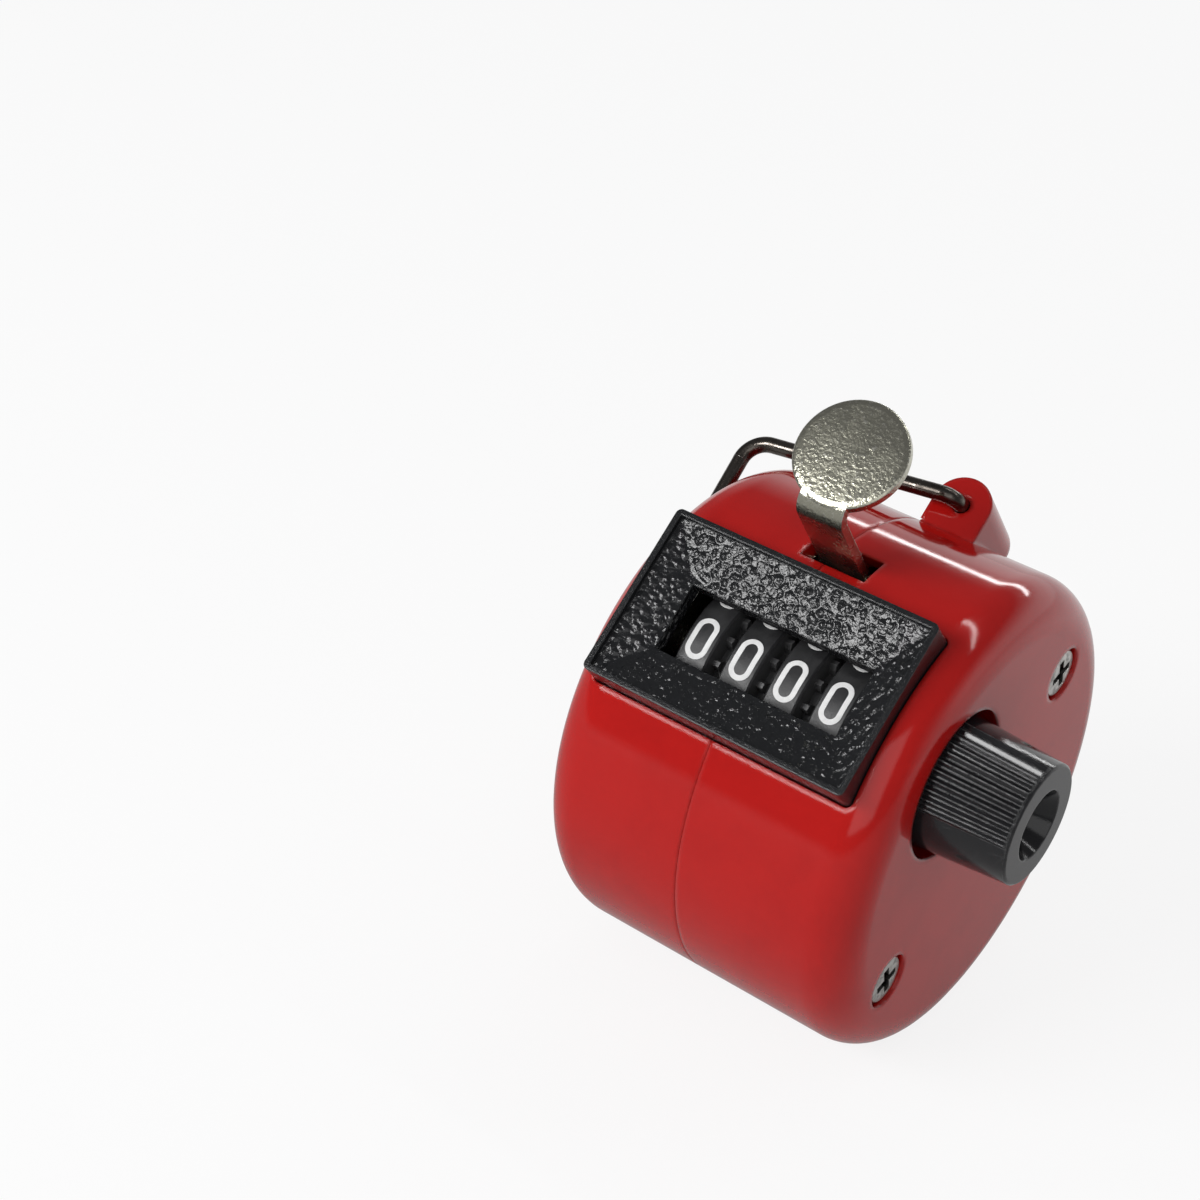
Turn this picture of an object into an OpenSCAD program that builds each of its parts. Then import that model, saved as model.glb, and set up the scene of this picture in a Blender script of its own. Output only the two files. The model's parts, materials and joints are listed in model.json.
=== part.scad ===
/* [Case] */
// Diameter of the round case
case_d = 42; // [41:0.5:46]
// Width of the case from side to side
case_w = 30; // [29:0.5:36]
// Radius of the rounded edges of the case
edge_r = 3.8; // [3.2:0.1:4.2]
// Wall of the case
wall = 1.8; // [1.5:0.1:2.0]
// How far the parting line lies left of the middle
seam_left = 0.7; // [0.4:0.1:1.2]
// Width of the flat that the counter stands on
foot_w = 14; // [10:0.5:16]
// Angle of the window's face above the horizon
face_tilt = 48; // [40:1:56]
// Height of the two screws above and below their middle
screw_up = 14.5; // [14.2:0.1:14.7]
// Diameter of a screw head
head_d = 4.4; // [4:0.1:4.8]

/* [Window] */
// Width of the bezel
bezel_w = 24.2; // [23.4:0.1:24.4]
// Height of the bezel
bezel_h = 15; // [14.3:0.1:15.3]
// How far the bezel lies left of the middle
bezel_left = 0.3; // [0:0.1:0.4]
// Radius of the bezel's corners
bezel_r = 0.5; // [0.4:0.1:0.8]
// How far the bezel's rim stands in front of the case
bezel_proud = 1.4; // [1.1:0.1:1.6]
// Width of the bezel's rim
rim_w = 0.5; // [0.4:0.1:0.8]
// Step from the rim down to the slopes
rim_step = 0.5; // [0.3:0.1:0.6]
// Width of the window
window_w = 16.9; // [16.3:0.1:17.4]
// Height of the window
window_h = 5.9; // [5.2:0.1:6.2]

/* [Number wheels] */
// Diameter of a number wheel
wheel_d = 16.2; // [16:0.1:16.6]
// Distance from wheel to wheel
wheel_pitch = 4.2; // [4.1:0.05:4.3]
// Diameter of the wheel shaft
shaft_d = 3; // [2.6:0.1:3.2]
// Diameter of the pin that the carry pinions turn on
pinion_pin_d = 1.5; // [1.2:0.1:1.7]

/* [Reset knob] */
// Diameter of the knob at the case
knob_d = 11.2; // [10:0.1:11.6]
// Diameter of the knob at its end
knob_end_d = 10.2; // [9.6:0.1:10.8]
// How far the knob stands out of the side of the case
knob_out = 7.3; // [6:0.1:9]
// Diameter of the recess in the knob's end
recess_d = 6; // [5.6:0.1:7]
// Number of ridges in each grip field
ridges = 11; // [8:1:12]

/* [Thumb lever] */
// Diameter of the lever's round pad
pad_d = 9.3; // [8:0.1:10]
// Thickness of the lever's sheet
sheet_t = 0.8; // [0.6:0.1:0.9]
// Width of the strip that passes through the slot
strip_w = 4.1; // [3.6:0.1:4.6]
// Diameter of the lever's two pins
lever_pin_d = 1.6; // [1.3:0.1:1.8]

/* [Finger ring] */
// Diameter of the ring's wire
wire_d = 1.4; // [1.2:0.05:1.5]
// Distance between the two strands of the ring
ring_w = 15.5; // [15:0.1:17]
// Distance of the ring's arms from the side of the case
ring_off = 2.4; // [2.2:0.1:4]
// Length of the ring's arms
ring_arm = 16; // [14:0.5:18]

/* [Fits] */
// Radial clearance of turning pieces on their pins
run_gap = 0.05; // [0.03:0.01:0.08]
// Radial clearance of fixed pins in their bores
seat_gap = 0.02; // [0.01:0.01:0.03]
// Clearance of the bezel in the case
bezel_gap = 0.1; // [0.05:0.01:0.15]

/* [Hidden] */
$fn = 48;
big = 100;

case_r = case_d / 2;
half_w = case_w / 2;
in_r = case_r - wall;
in_half = half_w - wall;
seam_x = -seam_left;
foot_h = sqrt(case_r * case_r - foot_w * foot_w / 4);
lip_t = 0.8;
lip_l = 1.4;

bezel_front = -(case_r + bezel_proud);
bezel_x = -bezel_left;
bezel_z = 0.55;
window_z = 0.2;
slope_drop = 0.9;
bezel_top = bezel_z + bezel_h / 2;
bezel_low = bezel_z - bezel_h / 2;
bezel_seat = 2.1 - case_r;
bezel_back = bezel_seat - 1.1;
bezel_wall = 1.1;
ledge_t = 0.7;
ledge_in = 0.8;

wheel_r = wheel_d / 2;
wheel_in = 1.9;
wheel_y = wheel_in + wheel_r - case_r;
rim_half = 1.4;
side_t = 0.6;
hub_r = 3;
hub_half = wheel_pitch / 2 - 0.05;
shaft_r = shaft_d / 2;
units_x = 1.5 * wheel_pitch;
ratchet_r = 3.5;
ratchet_in = 1.7;
ratchet_t = 1.2;
units_end = units_x + 3;

gear_teeth = 20;
pinion_teeth = 8;
tooth_m = 0.66;
gear_pr = tooth_m * gear_teeth / 2;
pinion_pr = tooth_m * pinion_teeth / 2;
addendum = 0.5;
dedendum = 0.62;
tooth_w = 0.8;
carry_tip = gear_pr + pinion_pr - pinion_pr - addendum - 0.3;
pinion_z = -(gear_pr + pinion_pr);
pinion_pin_r = pinion_pin_d / 2;
pinion_len = 1.2;
pinion_boss_r = 2;

arm_out = units_x + 4;
arm_in = arm_out - sheet_t;
arm_gap = 0.4;

cup_r = 6.4;
cup_wall = 1;
cup_floor_t = 1.5;
cup_floor = arm_out + arm_gap + cup_floor_t;
knob_base = cup_floor + 0.3;
knob_end = half_w + knob_out;
knob_recess = 1.9;
knob_flange = 0.3;
knob_flange_h = 1;
grip_start = 2;
end_edge = 0.18;
recess_taper = 0.9;
shaft_show = 0.5;
ridge_s = 0.5;
ridge_step = 8;
shaft_left = -(in_half - 0.4);
left_boss_end = -(units_x + 2.9);
right_boss_end = units_end + 0.1;
boss_r = shaft_r + 1.25;
clip_x = -(units_x + 2.5);
clip_t = 0.5;

screw_y = -1.7;
screw_z = -0.35;
screw_d = 2.5;
screw_hole_d = 2.9;
column_r = 2.8;
head_sink = 1.4;
head_h = 1.25;
head_gap = 0.18;
cross_l = 2.7;
cross_w = 0.74;
cross_h = 0.75;
cross_turn = 65;
screw_tip = -9;

pin_front = 5;
pin_y = wheel_y - pin_front;
pin_z = -3;
ear_r = 1.9;
lever_pin_r = lever_pin_d / 2;
lever_pin_end = cup_floor - 0.5;
pin_stub = 0.3;
arm_head = [wheel_y - 3.7, 10.6];
arm_knee = [wheel_y - 6.4, 4.5];
arm_heel = [pin_y + 1.5, pin_z + 1];
arm_waist = [wheel_y - 3.9, 0];
arm_neck = [wheel_y - 3.6, 3.5];
arm_back = [wheel_y - 1.1, 10.2];
pad_y = -(case_r + 5);
pad_z = 16.4;
bend_in = 1;
bend_y = pad_y + sheet_t / 2 + bend_in;
bend_z = 12.65;
strip_fall = 3.5;
plate_front = 9.8;
plate_back = 12.8;
roll_w = 0.5;
roll_h = 0.15;
slot_w = strip_w + 1.9;
slot_low = 9.7;
slot_top = 12.2;
pin_boss_r = 1.35;
pin_boss_end = arm_out + 0.3;

pawl_y = wheel_y - 2.2;
pawl_z = 8.8;
pawl_r = 1.2;
pawl_pin_r = 0.6;
pawl_x = units_x + 2;
pawl_t = 0.9;
pawl_head_t = 0.3;
nose_y = wheel_y + 2.6;
nose_z = 2.6;
nose_w = 0.5;
click_path = [[wheel_y - 0.79, 10.38], [wheel_y + 1.7, 9.35], [wheel_y + 2.75, 6.45]];
post_y = wheel_y + 5.5;
post_z = -7.5;
post_r = 1.3;
leaf_tip = [wheel_y + 1.1, -3.55];
leaf_t = 0.3;

wire_r = wire_d / 2;
// Straight runs of wire are this much thinner than the bends, and reach this far into them
draw = 0.006;
lap = 0.1;
lug_x = 1.9;
lug_z = case_r + 1.4;
lug_r = 2.6;
lug_front = -7;
lug_back = 1.3;
ring_front = -8.5;
ring_back = ring_front + ring_w;
ring_x = -(half_w + ring_off);
ring_slope = 7;
corner_z = lug_z - (lug_x - ring_x) * tan(ring_slope);
ring_end = corner_z - ring_arm;

function unit(v) = v / norm(v);

module stand() {
  translate([0, 0, foot_h])
    rotate([-face_tilt, 0, 0])
      children();
}

// Cylinder along the drum's axis from x0 to x1 at depth y and height z
module rod(x0, x1, r, y, z) {
  translate([x0, y, z])
    rotate([0, 90, 0])
      cylinder(r = r, h = x1 - x0);
}

// Outline in depth and height, drawn between x0 and x1
module plate(x0, x1, points) {
  translate([x0, 0, 0])
    rotate([90, 0, 90])
      linear_extrude(x1 - x0)
        polygon(points);
}

module box(x0, x1, y0, y1, z0, z1) {
  translate([x0, y0, z0])
    cube([x1 - x0, y1 - y0, z1 - z0]);
}

// Upright plate w wide and h high with rounded corners, from depth y0 to y1, its middle at height z
module rounded_plate(w, h, r, y0, y1, z) {
  translate([0, y1, z])
    rotate([90, 0, 0])
      linear_extrude(y1 - y0)
        union() {
          square([w - 2 * r, h], center = true);
          square([w, h - 2 * r], center = true);
          for (x = [-1, 1], s = [-1, 1])
            translate([x * (w / 2 - r), s * (h / 2 - r)])
              circle(r = r);
        }
}

module drum(r, half, e) {
  rotate([0, 90, 0])
    rotate_extrude($fn = 96)
      union() {
        translate([0, -half])
          square([r - e, 2 * half]);
        translate([0, e - half])
          square([r, 2 * (half - e)]);
        for (s = [-1, 1])
          translate([r - e, s * (half - e)])
            circle(r = e);
      }
}

// Everything farther than h below the axis, square to the floor
module below(h) {
  rotate([face_tilt, 0, 0])
    translate([-big / 2, -big / 2, -big - h])
      cube(big);
}

module case_outside() {
  difference() {
    drum(case_r, half_w, edge_r);
    below(foot_h);
  }
}

module case_inside(g) {
  difference() {
    drum(in_r - g, in_half - g, edge_r - wall);
    below(foot_h - wall - g);
  }
}

module left_of(x) {
  translate([x - big, -big / 2, -big / 2])
    cube(big);
}

module right_of(x) {
  translate([x, -big / 2, -big / 2])
    cube(big);
}

module shell() {
  difference() {
    case_outside();
    case_inside(0);
  }
}

// Raised frame behind the window opening, with the ledge that the bezel rests on
module collar() {
  intersection() {
    case_outside();
    box(bezel_x - bezel_w / 2 - 1.5, bezel_x + bezel_w / 2 + 1.5, bezel_front, bezel_seat + ledge_t, bezel_low - 1,
        bezel_top + 1);
  }
}

module window_opening() {
  translate([bezel_x, 0, 0]) {
    rounded_plate(bezel_w + 2 * bezel_gap, bezel_h + 2 * bezel_gap, bezel_r + bezel_gap, bezel_front - 5, bezel_seat,
                  bezel_z);
    box(ledge_in - bezel_w / 2, bezel_w / 2 - ledge_in, bezel_front, bezel_seat + ledge_t + 2,
        bezel_low + ledge_in, bezel_top - ledge_in);
  }
}

module lever_slot() {
  box(-slot_w / 2, slot_w / 2, -case_r - 2, wheel_y - 2, slot_low, slot_top);
}

module seam_groove() {
  rotate([0, 90, 0])
    rotate_extrude($fn = 96)
      translate([case_r, seam_x])
        polygon([[-0.07, 0], [0.2, -0.2], [0.2, 0.2]]);
}

module screw_columns(x0, x1, r) {
  for (s = [-1, 1])
    rod(x0, x1, r, screw_y, screw_z + s * screw_up);
}

module left_case() {
  color("firebrick")
    stand()
      difference() {
        union() {
          intersection() {
            union() {
              shell();
              collar();
            }
            left_of(seam_x);
          }
          difference() {
            intersection() {
              case_inside(0.05);
              box(seam_x - 0.6, seam_x + lip_l, -big / 2, big / 2, -big / 2, big / 2);
            }
            case_inside(lip_t);
            box(seam_x, seam_x + lip_l + 1, bezel_front, bezel_seat + ledge_t + 0.1, bezel_low - 1.1,
                bezel_top + 1.1);
          }
          difference() {
            intersection() {
              case_inside(-0.3);
              box(seam_x - 0.8, seam_x, -big / 2, big / 2, -big / 2, big / 2);
            }
            case_inside(lip_t);
          }
          rod(-in_half - 0.5, left_boss_end, boss_r, wheel_y, 0);
          rod(-in_half - 0.5, left_boss_end + 0.2, pinion_boss_r, wheel_y, pinion_z);
          rod(-in_half - 0.5, -pin_boss_end, pin_boss_r, pin_y, pin_z);
          screw_columns(-in_half - 0.5, seam_x, column_r);
        }
        window_opening();
        lever_slot();
        seam_groove();
        rod(shaft_left - 0.1, 0, shaft_r + run_gap, wheel_y, 0);
        rod(shaft_left - 0.1, 0, pinion_pin_r + seat_gap, wheel_y, pinion_z);
        rod(-lever_pin_end - 0.1, 0, lever_pin_r + seat_gap, pin_y, pin_z);
        screw_columns(screw_tip - 1, 0, screw_d / 2 + seat_gap);
        screw_columns(seam_x - 0.1, seam_x + lip_l + 1, column_r + 0.1);
      }
}

module lug() {
  difference() {
    union() {
      translate([lug_x, lug_back, lug_z])
        rotate([90, 0, 0])
          cylinder(r = lug_r, h = lug_back - lug_front);
      box(lug_x - lug_r, lug_x + lug_r, lug_front, lug_back, case_r - 6, lug_z);
    }
    case_inside(0);
    translate([lug_x, lug_back + 1, lug_z])
      rotate([90, 0, 0])
        cylinder(r = wire_r + run_gap, h = lug_back - lug_front + 2);
  }
}

module right_case() {
  color("firebrick")
    stand()
      difference() {
        union() {
          intersection() {
            union() {
              shell();
              collar();
            }
            right_of(seam_x);
          }
          lug();
          rod(cup_floor - cup_floor_t, in_half + 0.5, cup_r + cup_wall, wheel_y, 0);
          rod(right_boss_end, cup_floor, shaft_r + 0.9, wheel_y, 0);
          rod(units_x + 1.7, in_half + 0.5, pinion_boss_r, wheel_y, pinion_z);
          rod(pin_boss_end, in_half + 0.2, pin_boss_r, pin_y, pin_z);
          rod(pawl_x, in_half + 0.5, post_r, post_y, post_z);
          screw_columns(seam_x, in_half + 0.5, column_r);
        }
        window_opening();
        lever_slot();
        seam_groove();
        rod(cup_floor, half_w + 1, cup_r, wheel_y, 0);
        rod(0, half_w, shaft_r + run_gap, wheel_y, 0);
        rod(0, in_half - 0.2, pinion_pin_r + seat_gap, wheel_y, pinion_z);
        rod(0, lever_pin_end + 0.1, lever_pin_r + seat_gap, pin_y, pin_z);
        screw_columns(seam_x - 1, half_w, screw_hole_d / 2);
        screw_columns(half_w - head_sink, half_w + 1, head_d / 2 + head_gap);
        leaf_place()
          box(pawl_x - 0.1, pawl_x + pawl_t, -post_r - 1, post_r + 1, -leaf_t / 2 - seat_gap, leaf_t / 2 + seat_gap);
      }
}

// Sunken field of the bezel, from the step under the rim to the window's edge
module slopes() {
  l0 = bezel_x - bezel_w / 2 + rim_w;
  r0 = bezel_x + bezel_w / 2 - rim_w;
  x1 = window_w / 2;
  y0 = bezel_front + rim_step;
  y1 = y0 + slope_drop;
  a0 = bezel_low + rim_w;
  a1 = bezel_top - rim_w;
  b0 = window_z - window_h / 2;
  b1 = window_z + window_h / 2;
  polyhedron(
    points = [[l0, y0, a0], [r0, y0, a0], [r0, y0, a1], [l0, y0, a1],
              [-x1, y1, b0], [x1, y1, b0], [x1, y1, b1], [-x1, y1, b1]],
    faces = [[3, 2, 1, 0], [4, 5, 6, 7], [0, 1, 5, 4], [1, 2, 6, 5], [2, 3, 7, 6], [3, 0, 4, 7]]);
}

module window_bezel() {
  wx = window_w / 2;
  w0 = window_z - window_h / 2;
  w1 = window_z + window_h / 2;
  color([0.14, 0.14, 0.15])
    stand()
      difference() {
        translate([bezel_x, 0, 0])
          rounded_plate(bezel_w, bezel_h, bezel_r, bezel_front, bezel_seat, bezel_z);
        translate([bezel_x, 0, 0])
          box(rim_w - bezel_w / 2, bezel_w / 2 - rim_w, bezel_front - 1, bezel_front + rim_step,
              bezel_low + rim_w, bezel_top - rim_w);
        slopes();
        box(-wx, wx, bezel_front, bezel_seat + 1, w0, w1);
        difference() {
          translate([bezel_x, 0, 0])
            box(bezel_wall - bezel_w / 2, bezel_w / 2 - bezel_wall, bezel_back, bezel_seat + 1,
                bezel_low + bezel_wall, bezel_top - bezel_wall);
          box(-wx - 0.6, wx + 0.6, bezel_back - 1, bezel_back + 0.45, w0 - 0.6, w1 + 0.6);
        }
      }
}

module spur(n, pr, h, first, step) {
  linear_extrude(h)
    union() {
      circle(r = pr - dedendum);
      for (k = [first : step : n - 1])
        rotate(k * 360 / n)
          polygon([[pr - dedendum - 0.3, -tooth_w / 2], [pr, -tooth_w / 2], [pr + addendum, -tooth_w * 0.28],
                   [pr + addendum, tooth_w * 0.28], [pr, tooth_w / 2], [pr - dedendum - 0.3, tooth_w / 2]]);
    }
}

module ratchet() {
  linear_extrude(ratchet_t)
    polygon([for (k = [0 : 9], s = [0, 1])
             let (a = 36 * k + 33 * s, r = ratchet_r - 0.75 * (1 - s))
             [r * cos(a), r * sin(a)]]);
}

// A number wheel at place n from the left, with the teeth that join it to its neighbours
module number_wheel(n) {
  translate([(n - 1.5) * wheel_pitch, wheel_y, 0])
    rotate([0, 90, 0])
      difference() {
        union() {
          rotate_extrude($fn = 96)
            polygon([[0, -rim_half], [wheel_r - 0.15, -rim_half], [wheel_r, 0.15 - rim_half],
                     [wheel_r, rim_half - 0.15], [wheel_r - 0.15, rim_half], [0, rim_half]]);
          translate([0, 0, -hub_half])
            cylinder(r = hub_r, h = 2 * hub_half);
          if (n < 3)
            translate([0, 0, rim_half - 0.1])
              rotate(180 / gear_teeth)
                spur(gear_teeth, gear_pr, side_t + 0.1, 0, 1);
          if (n > 0)
            translate([0, 0, -rim_half - side_t])
              linear_extrude(side_t + 0.1)
                union() {
                  circle(r = carry_tip - 0.6);
                  for (a = [-27, -45])
                    rotate(a)
                      translate([carry_tip / 2, 0])
                        square([carry_tip, tooth_w], center = true);
                }
          if (n == 3) {
            translate([0, 0, ratchet_in])
              ratchet();
            translate([0, 0, 0])
              cylinder(r = 2.6, h = units_end - units_x);
          }
        }
        translate([0, 0, -big / 2])
          cylinder(r = shaft_r + run_gap, h = big);
      }
}

module thousands_wheel() {
  color([0.16, 0.16, 0.17])
    stand()
      number_wheel(0);
}

module hundreds_wheel() {
  color([0.16, 0.16, 0.17])
    stand()
      number_wheel(1);
}

module tens_wheel() {
  color([0.16, 0.16, 0.17])
    stand()
      number_wheel(2);
}

module units_wheel() {
  color([0.16, 0.16, 0.17])
    stand()
      number_wheel(3);
}

// Carry pinion in the gap to the right of wheel n: every tooth on the left half, every second on the right
module carry_pinion(n) {
  translate([(n - 1.5) * wheel_pitch + rim_half + 0.1, wheel_y, pinion_z])
    rotate([0, 90, 0])
      difference() {
        union() {
          spur(pinion_teeth, pinion_pr, side_t, 0, 1);
          translate([0, 0, side_t - 0.05])
            spur(pinion_teeth, pinion_pr, pinion_len - side_t + 0.05, 0, 2);
        }
        translate([0, 0, -1])
          cylinder(r = pinion_pin_r + run_gap, h = pinion_len + 2);
      }
}

module thousands_pinion() {
  color("gainsboro")
    stand()
      carry_pinion(0);
}

module hundreds_pinion() {
  color("gainsboro")
    stand()
      carry_pinion(1);
}

module tens_pinion() {
  color("gainsboro")
    stand()
      carry_pinion(2);
}

module pinion_shaft() {
  color("silver")
    stand()
      rod(shaft_left, in_half - 0.4, pinion_pin_r, wheel_y, pinion_z);
}

module wheel_shaft() {
  color("silver")
    stand()
      difference() {
        rod(shaft_left, knob_end - knob_recess + shaft_show, shaft_r, wheel_y, 0);
        box(clip_x + 0.6, units_end, wheel_y - 0.4, wheel_y + 0.4, shaft_r - 0.5, shaft_r + 1);
        difference() {
          rod(clip_x - clip_t / 2, clip_x + clip_t / 2, shaft_r + 1, wheel_y, 0);
          rod(clip_x - 1, clip_x + 1, shaft_r - 0.35, wheel_y, 0);
        }
      }
}

module shaft_clip() {
  h = clip_t / 2 - 0.03;
  color("silver")
    stand()
      difference() {
        rod(clip_x - h, clip_x + h, shaft_r + 1, wheel_y, 0);
        rod(clip_x - 1, clip_x + 1, shaft_r - 0.35 + seat_gap, wheel_y, 0);
        box(clip_x - 1, clip_x + 1, wheel_y - shaft_r + 0.45, wheel_y + shaft_r - 0.45, -shaft_r - 2, 0);
      }
}

module reset_knob() {
  r0 = knob_d / 2;
  r1 = knob_end_d / 2;
  len = knob_end - knob_base;
  lean = atan((r0 - r1) / (len - grip_start));
  color([0.13, 0.13, 0.14])
    stand()
      translate([knob_base, wheel_y, 0])
        rotate([0, 90, 0])
          difference() {
            union() {
              rotate_extrude($fn = 96)
                polygon([[0, 0], [r0 + knob_flange, 0], [r0 + knob_flange, knob_flange_h], [r0, grip_start],
                         [r1, len - end_edge], [r1 - end_edge, len], [0, len]]);
              for (side = [90, 270], k = [0 : ridges - 1])
                rotate(side + (k - (ridges - 1) / 2) * ridge_step)
                  translate([r0 - ridge_s / 10, 0, grip_start + ridge_s / 2])
                    rotate([0, -lean, 0])
                      rotate(45)
                        translate([-ridge_s / 2, -ridge_s / 2, 0])
                          cube([ridge_s, ridge_s, len - grip_start - ridge_s]);
            }
            translate([0, 0, -1])
              cylinder(r = shaft_r + seat_gap, h = len + 2);
            translate([0, 0, len - knob_recess])
              cylinder(r1 = recess_d / 2 - recess_taper, r2 = recess_d / 2 + recess_taper, h = 2 * knob_recess);
          }
}

module lever_arm(x0, x1) {
  difference() {
    union() {
      plate(x0, x1, [arm_head, arm_knee, [pin_y - ear_r, pin_z], arm_heel, arm_waist, arm_neck, arm_back]);
      rod(x0, x1, ear_r, pin_y, pin_z);
    }
    rod(x0 - 1, x1 + 1, lever_pin_r + run_gap, pin_y, pin_z);
    if (x0 > 0)
      rod(x0 - 1, x1 + 1, pawl_pin_r + seat_gap, pawl_y, pawl_z);
  }
}

// Side view of the bent sheet: pad's neck, fold, strip and cross plate
function fold_point(r, a) = [bend_y + r * cos(a), bend_z + r * sin(a)];
fold_steps = 16;
fold_end = 270 - strip_fall;
fold_angles = [for (k = [0 : fold_steps]) 180 + k * (fold_end - 180) / fold_steps];
strip_run = plate_back * [cos(strip_fall), -sin(strip_fall)];
sheet_profile = concat(
  [[pad_y - sheet_t / 2, pad_z]],
  [for (a = fold_angles) fold_point(bend_in + sheet_t, a)],
  [fold_point(bend_in + sheet_t, fold_end) + strip_run, fold_point(bend_in, fold_end) + strip_run],
  [for (k = [0 : fold_steps]) fold_point(bend_in, fold_angles[fold_steps - k])],
  [[pad_y + sheet_t / 2, pad_z]]);

module thumb_lever() {
  color("lightgray")
    stand() {
      translate([0, pad_y + sheet_t / 2, pad_z])
        rotate([90, 0, 0])
          rotate_extrude($fn = 96)
            polygon([[0, 0], [pad_d / 2, 0], [pad_d / 2, sheet_t - roll_h],
                     [pad_d / 2 - 0.3 * roll_w, sheet_t - 0.45 * roll_h], [pad_d / 2 - roll_w, sheet_t],
                     [0, sheet_t]]);
      difference() {
        plate(-arm_out, arm_out, sheet_profile);
        for (s = [0, 1])
          mirror([s, 0, 0])
            box(strip_w / 2, big, pad_y - 5, bend_y + plate_front, 0, big);
      }
      lever_arm(arm_in, arm_out);
      lever_arm(-arm_out, -arm_in);
    }
}

module lever_pins() {
  color("silver")
    stand() {
      rod(arm_in - pin_stub, lever_pin_end, lever_pin_r, pin_y, pin_z);
      rod(-lever_pin_end, -arm_in + pin_stub, lever_pin_r, pin_y, pin_z);
    }
}

// Tube of radius r along a list of points
module tube(path, r, sides) {
  n = len(path);
  pts = [for (i = [0 : n - 1])
         let (t = unit(path[min(i + 1, n - 1)] - path[max(i - 1, 0)]),
              u = unit(cross(t, [1, 0.13, 0.07])),
              v = cross(t, u))
         for (k = [0 : sides - 1])
         path[i] + r * (u * cos(360 * k / sides) + v * sin(360 * k / sides))];
  walls = [for (i = [0 : n - 2], k = [0 : sides - 1])
           [i * sides + k, i * sides + (k + 1) % sides, (i + 1) * sides + (k + 1) % sides, (i + 1) * sides + k]];
  polyhedron(points = pts,
             faces = concat([[for (k = [sides - 1 : -1 : 0]) k]], walls,
                            [[for (k = [0 : sides - 1]) (n - 1) * sides + k]]));
}

spring_wire_r = 0.16;
spring_r = (pin_boss_r + 0.1 + spring_wire_r) / cos(22.5);
spring_curls = 2;
spring_x0 = -in_half + 0.4;
spring_x1 = -pin_boss_end - 0.15;
spring_pitch = (spring_x1 - spring_x0) / (spring_curls + 0.5);
spring_leg = 7;
spring_off = 1.5;
spring_up = 4.3;
spring_hook = 0.3;
spring_path = concat(
  [for (k = [1, 0.5]) [spring_x0, pin_y + k * spring_leg, pin_z - spring_r]],
  [for (k = [0 : 8 * spring_curls + 4])
   let (a = -90 - 45 * k)
   [spring_x0 + spring_pitch * k / 8, pin_y + spring_r * cos(a), pin_z + spring_r * sin(a)]],
  [for (k = [[0.6, 0.13], [0.93, 0.53]])
   [spring_x1, pin_y + k[0] * spring_off, pin_z + spring_r + k[1] * spring_off]],
  [[spring_x1, pin_y + spring_off, pin_z + spring_up - spring_hook],
   [spring_x1 + spring_hook, pin_y + spring_off, pin_z + spring_up],
   [-arm_in, pin_y + spring_off, pin_z + spring_up]]);

module lever_spring() {
  color("silver")
    stand()
      tube(spring_path, spring_wire_r, 6);
}

module drive_pawl() {
  d = unit([nose_y - pawl_y, nose_z - pawl_z]);
  n = [-d[1], d[0]];
  p = [pawl_y, pawl_z];
  q = [nose_y, nose_z];
  color("darkgray")
    stand()
      difference() {
        union() {
          rod(pawl_x, pawl_x + pawl_t, pawl_r, pawl_y, pawl_z);
          plate(pawl_x, pawl_x + pawl_t, [p, q, q + nose_w * n, p + pawl_r * n]);
        }
        rod(pawl_x - 1, pawl_x + 2, pawl_pin_r + run_gap, pawl_y, pawl_z);
      }
}

module pawl_pin() {
  color("silver")
    stand()
      union() {
        rod(pawl_x - run_gap - pawl_head_t / 2, arm_out, pawl_pin_r, pawl_y, pawl_z);
        rod(pawl_x - run_gap - pawl_head_t, pawl_x - run_gap, pawl_pin_r + 0.4, pawl_y, pawl_z);
      }
}

// One side of a bent leaf, at distance h from its path
function leaf_side(path, h) =
  [for (i = [0 : len(path) - 1])
   let (d = unit(path[min(i + 1, len(path) - 1)] - path[max(i - 1, 0)]))
   path[i] + h * [-d[1], d[0]]];

function reversed(v) = [for (i = [len(v) - 1 : -1 : 0]) v[i]];

module pawl_spring() {
  color("silver")
    stand()
      plate(pawl_x + 0.1, pawl_x + pawl_t - 0.1,
            concat(leaf_side(click_path, leaf_t / 2), reversed(leaf_side(click_path, -leaf_t / 2))));
}

// Frame of the backstop leaf: origin in its post, depth axis toward the ratchet
module leaf_place() {
  translate([0, post_y, post_z])
    rotate([atan2(leaf_tip[1] - post_z, leaf_tip[0] - post_y), 0, 0])
      children();
}

module backstop_spring() {
  color("silver")
    stand()
      leaf_place()
        box(pawl_x, pawl_x + pawl_t - run_gap, -post_r, norm(leaf_tip - [post_y, post_z]),
            -leaf_t / 2, leaf_t / 2);
}

module case_screws() {
  seat = half_w - head_sink;
  r = head_d / 2;
  color("silver")
    stand()
      for (s = [-1, 1])
        difference() {
          union() {
            rod(screw_tip, seat + 0.2, screw_d / 2, screw_y, screw_z + s * screw_up);
            translate([seat, screw_y, screw_z + s * screw_up])
              rotate([0, 90, 0])
                rotate_extrude()
                  polygon([[0, 0], [r, 0], [r, 0.72 * head_h], [0.9 * r, 0.92 * head_h], [0.6 * r, head_h],
                           [0, head_h]]);
          }
          for (a = [cross_turn, cross_turn + 90])
            translate([seat + head_h - cross_h, screw_y, screw_z + s * screw_up])
              rotate([a, 0, 0])
                box(0, 2 * cross_h, -cross_l / 2, cross_l / 2, -cross_w / 2, cross_w / 2);
        }
}

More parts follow.
